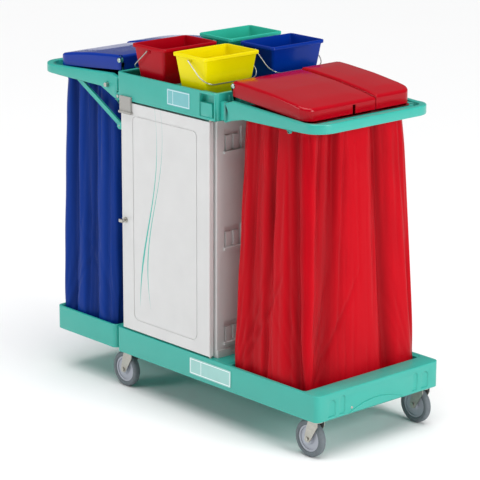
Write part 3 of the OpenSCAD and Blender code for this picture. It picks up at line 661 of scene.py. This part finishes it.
def bag_mesh(foot, top, z_foot, z_neck, z_top, seed, depth, count, placed):
    """Sewn bag as one sheet: floor, rounded foot, gathered wall, neck through the ring and a cuff turned over it.
    foot and top are (x0, x1, half width)."""
    around, rows = 336, 96
    slack_corner, end_corner, cuff = 0.050, 0.006, 0.011
    outer, out_dir, at, total = even_outline(foot[0], foot[1], -foot[2], foot[2], FOOT_CORNER, around)
    # The mouth fills the ring; under it the cloth cuts the corners, as slack cloth does.
    mouth, mouth_dir, _, _ = even_outline(top[0], top[1], -top[2], top[2], FOOT_CORNER, around)
    slack, slack_dir, _, _ = even_outline(top[0], top[1], -top[2], top[2], slack_corner, around)
    middle = np.array([(foot[0] + foot[1]) / 2, 0.0])
    rings, uv_v, level = [], [], []
    for share in (0.15, 0.4, 0.65, 0.85, 0.95):
        flat = middle + (outer - middle) * share
        rings.append(np.column_stack([flat, np.full(around, z_foot)]))
        uv_v.append(-0.25 * (1 - share))
        level.append(np.full(around, 0.5))
    heights = np.concatenate([[0.0], np.linspace(0.004, 1, rows)])
    h, s = np.meshgrid(heights, at, indexing="ij")
    half_end = foot[2] - end_corner
    corners = (-half_end, half_end, -half_end - (foot[1] - foot[0]))
    fold = bag_folds(s, h, total, seed, depth, count, placed, corners)
    # The folds are held between two limits that close in at the foot and the mouth, softly on the outer side.
    most = np.interp(heights, [0, 0.03, 0.12, 0.85, 0.97, 1], [0.0008, 0.0012, 0.006, 0.008, 0.0015, 0.0004])
    least = np.interp(heights, [0, 0.03, 0.15, 1], [0.002, 0.008, 0.03, 0.03])
    most, least, soft = most[:, None], least[:, None], 0.0016
    fold = most - np.log1p(np.exp(np.clip((most - fold) / soft, -40, 40))) * soft
    fold = np.maximum(fold, -least)
    for i, height in enumerate(heights):
        taut = np.interp(height, [0, 0.982, 0.998, 1], [0, 0, 1, 1])
        end, end_dir = slack + (mouth - slack) * taut, slack_dir + (mouth_dir - slack_dir) * taut
        xy = outer + (end - outer) * height
        normal = out_dir + (end_dir - out_dir) * height
        normal = normal / np.linalg.norm(normal, axis=1)[:, None]
        rise = height * (z_neck - z_foot)
        tuck = FLOOR_ROUND * (1 - math.sqrt(max(0.0, 1 - max(0.0, 1 - rise / FLOOR_ROUND) ** 2)))
        xy = xy + normal * (fold[i] - tuck)[:, None]
        rings.append(np.column_stack([xy, np.full(around, z_foot + rise)]))
        uv_v.append(rise)
        # Painted shade and painted light: a point in a fold valley gets a low level, which darkens the cloth's colour,
        # and a point on a ridge gets a high one, which pales it.
        level.append(np.clip(0.5 + fold[i] / (2.2 * depth), 0, 1))
    neck = fold[-1]
    for z, push in (
        (z_neck + 0.4 * (z_top - z_neck), 0.0),
        (z_top - 0.002, 0.0),
        (z_top + 0.0006, 0.003),
        (z_top + 0.0012, cuff),
    ):
        xy = mouth + mouth_dir * (neck * (1 - push / cuff) + push)[:, None]
        rings.append(np.column_stack([xy, np.full(around, z)]))
        uv_v.append(z - z_foot + push)
        level.append(level[-1])
    data = loft(rings, True, False)
    cloth = data.uv_layers.new(name="Cloth")
    u = np.tile(at, len(rings))
    v = np.repeat(uv_v, around)
    for polygon in data.polygons:
        if len(polygon.vertices) > 4:
            continue
        columns = [i % around for i in polygon.vertices]
        wraps = max(columns) - min(columns) > 2
        for loop in polygon.loop_indices:
            i = data.loops[loop].vertex_index
            cloth.data[loop].uv = (u[i] + (total if wraps and i % around == 0 else 0), v[i])
    # The levels are stored for the cloth's material, which paints shade and light from them.
    made = data.attributes.new("painted_fold_shading", "FLOAT", "POINT")
    made.data.foreach_set("value", np.concatenate(level).astype(np.float32))
    smooth(data, 75)
    return data, rings


# ---------------------------------------------------------------- operators


class CART_OT_finish_frame(bpy.types.Operator):
    """Gives the base, tray, holders and struts their moulded finish"""

    bl_idname = "cart.finish_frame"
    bl_label = "Finish moulded frame"

    def execute(self, context):
        c = context.scene.cart_colours
        teal = moulded_plastic("teal_polypropylene_moulded", tuple(c.teal), rough=0.34, grain=0.07, edge=0.35, coat=0.2)
        finish(["base_frame", "platform", "top_tray", "holder_right", "holder_left"], teal)
        finish(["strut_brackets", "strut_front", "strut_back"], teal)
        for node_name, name, face, line, border, split in (
            ("base_plate", "plate_polypropylene_printed", "9FD4CE", "F2FAFA", 0.005, 0.058),
            ("tray_label", "label_vinyl_printed", "74BFC4", "CDE8EC", 0.004, 0.030),
        ):
            finish([node_name], printed_plate(name, linear(face), linear(line), node_name, border, split))
        return {"FINISHED"}


class CART_OT_finish_cabinet(bpy.types.Operator):
    """Gives the panels, door, shelves and catch their finish"""

    bl_idname = "cart.finish_cabinet"
    bl_label = "Finish cabinet"

    def execute(self, context):
        c = context.scene.cart_colours
        panel = moulded_plastic("white_abs_moulded", tuple(c.white), rough=0.30, coat=0.25, scuff=0.03)
        finish(["side_panel_left", "side_panel_right", "back_panel", "cabinet_floor", "corner_feet"], panel)
        finish(["door"], striped_door("white_abs_striped", tuple(c.white), tuple(c.stripe)))
        grey = moulded_plastic("grey_abs_moulded", tuple(c.grey), rough=0.45, grain=0.06, edge=0.1)
        finish(["lower_shelf", "upper_shelf", "door_catch"], grey)
        return {"FINISHED"}


class CART_OT_finish_metal(bpy.types.Operator):
    """Gives the casters, pins, bolts and bails their finish"""

    bl_idname = "cart.finish_metal"
    bl_label = "Finish metal and wheels"

    def execute(self, context):
        c = context.scene.cart_colours
        sheet = plated_steel("zinc_plated_pressed_steel", tuple(c.zinc), 0.34, 3.0, spangle=0.25)
        bright = plated_steel("bright_drawn_steel_wire", linear("C2BEB6"), 0.27, 1.0)
        corners = [a + "_" + b for a in ("front", "back") for b in ("left", "right")]
        finish(["platform_pins", "caster_plates", "caster_bolts", "door_pins", "door_lock"], sheet)
        finish(["holder_right_bolts", "fold_pins", "lock_pin_front", "lock_pin_back"], sheet)
        finish(["lid_rod_right", "lid_rod_left"], sheet)
        finish([kind + k for kind in ("fork_", "axle_") for k in corners], sheet)
        finish(["bail_" + k for k in ("red", "yellow", "green", "blue")], bright)
        finish(["tyre_" + k for k in corners], tyre_rubber("grey_rubber_moulded", tuple(c.tyre)))
        hub = moulded_plastic("grey_nylon_moulded", tuple(c.hub), rough=0.42, grain=0.05, edge=0.2)
        finish(["hub_" + k for k in corners], hub)
        return {"FINISHED"}


class CART_OT_round_mouldings(bpy.types.Operator):
    """Rounds the outer edges of the larger mouldings"""

    bl_idname = "cart.round_mouldings"
    bl_label = "Round moulded edges"

    def execute(self, context):
        radius = context.scene.cart_sizes.moulded_edge
        for name, body, share in (
            ("base_frame", "cart", 1.0),
            ("platform", "platform", 1.0),
            ("top_tray", "cart", 0.8),
            ("holder_right", "cart", 1.6),
            ("holder_left", "holder_left", 1.6),
        ):
            source = NODES[name]
            data = source.data.copy()
            data.transform(source.matrix_world)

            def weld(mend):
                bmesh.ops.remove_doubles(mend, verts=mend.verts, dist=MERGE_WITHIN)
                # Merging nearly flat faces tore a face of one holder, so only the base has it.
                if name == "base_frame":
                    flat = math.radians(0.6)
                    bmesh.ops.dissolve_limit(mend, angle_limit=flat, verts=mend.verts, edges=mend.edges)

            data = edited(data, weld)
            rounding = {"width": radius * share, "segments": 3, "limit_method": "ANGLE", "use_clamp_overlap": False}
            rounded = shaped(data, [("BEVEL", {**rounding, "angle_limit": math.radians(50)})])
            piece("rounded_" + name, smooth(rounded, 40), source.data.materials[0], body, [name])
        return {"FINISHED"}


class CART_OT_build_buckets(bpy.types.Operator):
    """Builds the four tapered buckets with turned rims and bail bosses"""

    bl_idname = "cart.build_buckets"
    bl_label = "Build buckets"

    def execute(self, context):
        c, s = context.scene.cart_colours, context.scene.cart_sizes
        wall, boss_drop = 0.003, 0.017
        for name, rgba in (("red", c.red), ("yellow", c.yellow), ("green", c.green), ("blue", c.blue)):
            low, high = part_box("bucket_" + name)
            at, half = (low + high) / 2, (high - low) / 2
            lip = s.bucket_lip

            def wall_inset(z):
                return 0.004 + 0.134 * (high.z - z)

            def share_of(depth):
                return low.z + depth * (high.z - low.z)

            foot = wall_inset(low.z)
            # Each ring is (inset from the rim, height). The outer skin goes up from the middle of the floor.
            outer = [(foot + 0.030, low.z + 0.002), (foot + 0.012, low.z + 0.002), (foot + 0.010, low.z)]
            outer += [(foot + 0.005, low.z), (foot + 0.0015, low.z + 0.0015)]
            levels = [low.z + 0.006, share_of(0.3), share_of(0.6), share_of(0.85), high.z - lip - 0.001]
            outer += [(wall_inset(z), z) for z in levels]
            # The wall steps out under the rim, then the rim turns over with a soft edge.
            rim = ((0.0014, lip), (0.0002, lip - 0.0012), (0, 0.0022), (0.0007, 0.0007), (0.0022, 0), (0.0052, 0))
            outer += [(inset, high.z - drop) for inset, drop in rim + ((0.0066, 0.0007),)]
            inner = [(0.0072, high.z - 0.0024)]
            levels = [share_of(0.8), share_of(0.5), share_of(0.2), low.z + 0.012]
            inner += [(wall_inset(z) + wall, z) for z in levels]
            inner += [(foot + wall + 0.004, low.z + 0.0055), (foot + wall + 0.010, low.z + wall)]
            rings = []
            for skin, corner in ((outer, s.bucket_corner), (inner, s.bucket_corner - wall)):
                for inset, z in skin:
                    x, y = half.x - inset, half.y - inset
                    xy = outline(at.x - x, at.x + x, at.y - y, at.y + y, (max(0.002, corner),) * 4)
                    rings.append(np.column_stack([xy, np.full(len(xy), z)]))
            boss = [(-0.002, 0.0095), (0.0028, 0.009), (0.0044, 0.0075), (0.0050, 0.005)]
            parts = [loft(rings, True, True)]
            for side in (-1, 1):
                wall_y = at.y + side * (half.y - wall_inset(high.z - boss_drop))
                parts.append(outward(turned(boss, (at.x, wall_y, high.z - boss_drop), (0, side, 0))))
            look = {"rough": 0.24, "coat": 0.08, "scuff": 0.04, "Specular IOR Level": 0.12}
            plastic = moulded_plastic(name + "_polypropylene_gloss", tuple(rgba), **look)
            node_name = "bucket_" + name
            piece("moulded_" + node_name, smooth(joined(parts)), plastic, node_name, [node_name])
        return {"FINISHED"}


def cabinet_middle():
    """Place along X of the middle of the cabinet."""
    return (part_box("side_panel_left")[0].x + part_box("side_panel_right")[1].x) / 2


class CART_OT_build_lids(bpy.types.Operator):
    """Builds the four crowned lid flaps with rounded corners, skirts and hinge knuckles"""

    bl_idname = "cart.build_lids"
    bl_label = "Build lids"

    def execute(self, context):
        c, s = context.scene.cart_colours, context.scene.cart_sizes
        middle = cabinet_middle()
        small, hinge_corner = 0.004, 0.012
        ear_y, slot_half, pin_z = 0.231, 0.004, 1.158
        for side, out, rgba in (("right", 1, c.red), ("left", -1, c.blue)):
            tint = "red" if out > 0 else "blue"
            look = {"rough": 0.15, "coat": 0.15, "scuff": 0.03, "Specular IOR Level": 0.2}
            plastic = moulded_plastic(tint + "_abs_high_gloss", tuple(rgba), **look)
            for end in ("front", "back"):
                node_name = f"lid_{side}_{end}"
                low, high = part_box(node_name)
                near, far = (low.x, high.x) if out > 0 else (high.x, low.x)
                u0, u1 = abs(near - middle), abs(far - middle)
                top_u = [u0, u0 + 0.012, u0 + 0.05, (u0 + u1) / 2, u1 - 0.06, u1]
                top_z = [high.z - drop for drop in (0.0005, 0.0002, 0.0018, 0.0128, 0.0288, 0.0415)]
                facing = -1 if end == "front" else 1
                # The outer corner is rounded, the one beside the hinge less so, and the two at the other flap hardly.
                corners = {(out, facing): s.lid_corner, (-out, facing): hinge_corner}
                radii = [corners.get(k, small) for k in ((1, 1), (-1, 1), (-1, -1), (1, -1))]
                rings = []

                def ring(inset, drop=0.0, skirt=None):
                    r = [max(0.0015, radius - inset) for radius in radii]
                    xy = outline(low.x + inset, high.x - inset, low.y + inset, high.y - inset, r, side=14)
                    u = np.abs(xy[:, 0] - middle)
                    if skirt is None:
                        z = np.interp(u, top_u, top_z) - drop
                    else:
                        z = np.interp(u, [u0, u1], [1.125, 1.093]) + skirt
                    rings.append(np.column_stack([xy, z]))

                edge = s.lid_edge
                ring(0.0, skirt=0.0)
                ring(0.0, skirt=0.010)
                for a in np.radians(np.linspace(0, 90, 7)):
                    ring(edge * (1 - math.cos(a)), edge * (1 - math.sin(a)))
                smaller = min(high.x - low.x, high.y - low.y) / 2
                for inset in np.linspace(edge + 0.006, smaller - 0.004, 9):
                    ring(inset, -0.0016 * min(1, (inset - edge) / 0.05))
                solid = {"thickness": s.lid_wall, "offset": -1.0, "use_even_offset": True}
                shell = shaped(triangulated_cap(loft(rings, False, True)), [("SOLIDIFY", solid)])
                pin_x = middle + out * (u0 + 0.008)
                ear = facing * ear_y
                cutters = [block(near - out * 0.001, pin_x + out * 0.010, ear - slot_half, ear + slot_half, 1.10, 1.2)]
                if end == "front":
                    cutters.append(block(far - 0.005, far + 0.005, -0.036, -0.024, 1.08, 1.122))
                parts = [cut_away(shell, cutters)]
                for y in (low.y + 0.012, high.y - 0.024):
                    parts.append(block(pin_x - 0.0035, pin_x + 0.0035, y, y + 0.012, 1.160, 1.171))
                    knuckle = [(0, 0.0041), (0, 0.0075), (0.012, 0.0075), (0.012, 0.0041)]
                    parts.append(turned(knuckle, (pin_x, y, pin_z), (0, 1, 0), 24))
                flap = smooth(joined(parts), 38)
                piece("crowned_" + node_name, flap, plastic, node_name, [node_name])
        return {"FINISHED"}


class CART_OT_build_bags(bpy.types.Operator):
    """Builds the two gathered cloth bags and the stitches down their seams"""

    bl_idname = "cart.build_bags"
    bl_label = "Build bags"

    def execute(self, context):
        c, s = context.scene.cart_colours, context.scene.cart_sizes
        thread_tree = repeat_tree("stitches_along_a_seam", stitch_bead)
        z_foot, z_neck, z_top = 0.1512, 1.064, 1.085
        near, far, half_mouth = 0.3097, 0.6223, 0.2263
        seam_columns, seam_allowance, hem = (84, 168), 0.02, 0.012
        stitch_long, stitch_thick = 0.0042, 0.0011
        middle = cabinet_middle()
        for side, body, cloth, seed in (("red", "cart", c.red_cloth, 5), ("blue", "holder_left", c.blue_cloth, 12)):
            low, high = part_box("bag_" + side)
            if side == "red":
                foot = (low.x, high.x, high.y)
                top = (middle + near, middle + far, half_mouth)
            else:
                foot = (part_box("platform")[0].x + 0.0150, high.x, high.y)
                top = (middle - far, middle - near, half_mouth)
            # The rounded corner takes 22 mm of the distance round the foot.
            front_start = foot[2] - FOOT_CORNER + 0.022 + foot[1] - FOOT_CORNER
            placed = [*SIDE_FOLDS[side], *((x - front_start, *rest) for x, *rest in FRONT_FOLDS[side])]
            data, rings = bag_mesh(foot, top, z_foot, z_neck, z_top, seed, s.fold_depth, s.folds, placed)
            nylon = coated_nylon(side + "_coated_nylon_woven", tuple(cloth))
            bag = piece("cloth_bag_" + side, data, nylon, body, ["bag_" + side])
            # The cloth is a tube cut a little wider than the foot, sewn to a floor panel.
            thread = twisted_thread("polyester_thread_twisted", tuple(cloth))
            points, facings = [], []
            for column in seam_columns:
                line = np.array([r[column] for r in rings[6:-3]])
                run = np.concatenate([[0], np.cumsum(np.linalg.norm(np.diff(line, axis=0), axis=1))])
                at = np.arange(0.01, run[-1], s.stitch_pitch)
                path = np.stack([np.interp(at, run, line[:, k]) for k in range(3)], axis=1)
                points += path.tolist()
                facings += np.gradient(path, axis=0).tolist()
            beads = smooth(repeated(thread_tree, points, facings, stitch_long, stitch_thick, thread))
            stitches = piece("seam_stitches_" + side, beads, thread, body)
            if side == "blue":
                for made in (bag, stitches):
                    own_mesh(made)
        return {"FINISHED"}


class CART_OT_build_fittings(bpy.types.Operator):
    """Builds the pin caps, panel screws and the raised arch on the end of the base"""

    bl_idname = "cart.build_fittings"
    bl_label = "Build fittings"

    def execute(self, context):
        s = context.scene.cart_sizes
        cap_metal = plated_steel("nickel_plated_cap", linear("A9C4BC"), 0.25, 2.0)
        r = s.cap_width / 2
        dome = [(-0.001, r * 0.75), (-0.001, r), (0.0012, r), (0.0026, r * 0.8), (0.0032, r * 0.4)]
        for side, body in (("right", "cart"), ("left", "holder_left")):
            low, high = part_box("lid_rod_" + side)
            x, z = (low.x + high.x) / 2, (low.z + high.z) / 2
            ends = ((low.y + 0.0035, -1), (high.y - 0.0035, 1))
            caps = [outward(turned(dome, (x, y, z), (0, sign, 0))) for y, sign in ends]
            piece("lid_pin_caps_" + side, smooth(joined(caps), 30), cap_metal, body)
        # Arched panel that stands 3.4 mm proud of the end of the base
        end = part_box("base_frame")[1].x
        half_y, middle_y, base_z, rise = 0.122, -0.014, 0.1385, 0.026
        ys = np.linspace(-half_y, half_y, 41)
        crest = base_z + 0.002 + rise * (1 - (ys / half_y) ** 2)
        loops = []
        for inset, proud in ((0.0, -0.001), (0.0, 0.0022), (0.0012, 0.0034)):
            top = [(end + proud, y + middle_y, z - inset) for y, z in zip(ys, crest)]
            bottom = [(end + proud, y + middle_y, base_z + inset) for y in ys[::-1]]
            loops.append(np.array(top + bottom))
        teal = NODES["base_frame"].data.materials[0]
        piece("base_end_arch", smooth(outward(loft(loops, True, True)), 30), teal, "cart")
        # Screws round the edge of the back panel and one in the end of the base
        low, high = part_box("back_panel")
        middle = (low + high) / 2
        xs = (low.x + 0.018, middle.x, high.x - 0.018)
        zs = (low.z + 0.022, middle.z, high.z - 0.022)
        points = [(x, high.y - 0.0004, z) for x in xs for z in zs if (x, z) != (middle.x, middle.z)]
        facings = [(0, 1, 0)] * len(points) + [(1, 0, 0)]
        points.append((end - 0.0006, -0.126, 0.1555))
        tree = repeat_tree("pan_head_screws", screw_head)
        zinc = NODES["caster_plates"].data.materials[0]
        screws = repeated(tree, points, facings, s.screw_head, 0.0026, zinc)
        piece("panel_screws", smooth(screws, 40), zinc, "cart")
        return {"FINISHED"}


def aimed(name, data, place, direction, roll=0.0):
    """An object that stands at a place, looks along a direction and is rolled by some degrees."""
    made = linked(name, data)
    made.location = place
    made.rotation_mode = "QUATERNION"
    turn = Vector(direction).to_track_quat("-Z", "Y")
    made.rotation_quaternion = turn @ Quaternion((0, 0, 1), math.radians(roll))
    return made


class CART_OT_build_stage(bpy.types.Operator):
    """Sets the pale floor, the soft lights and the camera"""

    bl_idname = "cart.build_stage"
    bl_label = "Build stage"

    def execute(self, context):
        scene = context.scene
        half = 60.0
        data = bpy.data.meshes.new("studio_floor")
        data.from_pydata([(-half, -half, 0), (half, -half, 0), (half, half, 0), (-half, half, 0)], [], [(0, 1, 2, 3)])
        data.materials.append(floor_paint("studio_floor_paint"))
        linked("studio_floor", data)
        world = bpy.data.worlds.new("studio")
        world.use_nodes = True
        scene.world = world
        background = world.node_tree.nodes["Background"]
        background.inputs["Color"].default_value = (0.98, 0.99, 1.0, 1)
        # The backdrop is white to the eye, and lights the cart as a dimmer room.
        seen = add(world.node_tree, "ShaderNodeLightPath").outputs["Is Camera Ray"]
        level = add(world.node_tree, "ShaderNodeMapRange", {"Value": seen, "To Min": 0.20, "To Max": 0.93})
        world.node_tree.links.new(level.outputs[0], background.inputs["Strength"])
        sun = bpy.data.lights.new("overhead_diffuser", "SUN")
        sun.energy, sun.angle = 2.6, math.radians(60)
        aimed("overhead_diffuser", sun, (0, 0, 0), (-0.10, 0.08, -1))
        for name, place, aim, size, power, tint in (
            ("key_softbox", (4.6, 0.4, 2.2), (0.3, 0.0, 0.6), 1.6, 95, (1.0, 1.0, 1.0)),
            ("front_fill", (-2.2, -5.0, 2.2), (0.0, 0.0, 0.6), 2.4, 75, (0.97, 0.98, 1.0)),
        ):
            lamp = bpy.data.lights.new(name, "AREA")
            lamp.size, lamp.energy, lamp.color = size, power, tint
            aimed(name, lamp, place, Vector(aim) - Vector(place))
        camera = bpy.data.cameras.new("camera")
        camera.lens, camera.sensor_width = 169.71, 36.0
        camera.clip_start, camera.clip_end = 0.1, 200.0
        ahead = (-0.71466, 0.64656, -0.26688)
        scene.camera = aimed("camera", camera, (5.5953, -5.0212, 2.6245), ahead, roll=0.18)
        scene.view_settings.view_transform = "Standard"
        return {"FINISHED"}


class CART_PT_panel(bpy.types.Panel):
    """Lists the cart's sizes, colours and build steps"""

    bl_idname = "CART_PT_panel"
    bl_label = "Housekeeping cart"
    bl_space_type = "VIEW_3D"
    bl_region_type = "UI"
    bl_category = "Cart"

    def draw(self, context):
        for group in (context.scene.cart_sizes, context.scene.cart_colours):
            box = self.layout.box()
            for key in group.__annotations__:
                box.prop(group, key)
        for operator in STEPS:
            self.layout.operator(operator.bl_idname)


STEPS = (
    CART_OT_finish_frame,
    CART_OT_finish_cabinet,
    CART_OT_finish_metal,
    CART_OT_round_mouldings,
    CART_OT_build_buckets,
    CART_OT_build_lids,
    CART_OT_build_bags,
    CART_OT_build_fittings,
    CART_OT_build_stage,
)
CLASSES = (CartColours, CartSizes) + STEPS + (CART_PT_panel,)


def register():
    for made in CLASSES:
        bpy.utils.register_class(made)
    bpy.types.Scene.cart_colours = PointerProperty(type=CartColours)
    bpy.types.Scene.cart_sizes = PointerProperty(type=CartSizes)


def unregister():
    del bpy.types.Scene.cart_colours
    del bpy.types.Scene.cart_sizes
    for made in reversed(CLASSES):
        bpy.utils.unregister_class(made)


def main():
    register()
    for step in STEPS:
        group, name = step.bl_idname.split(".")
        getattr(getattr(bpy.ops, group), name)()


if __name__ == "__main__":
    main()
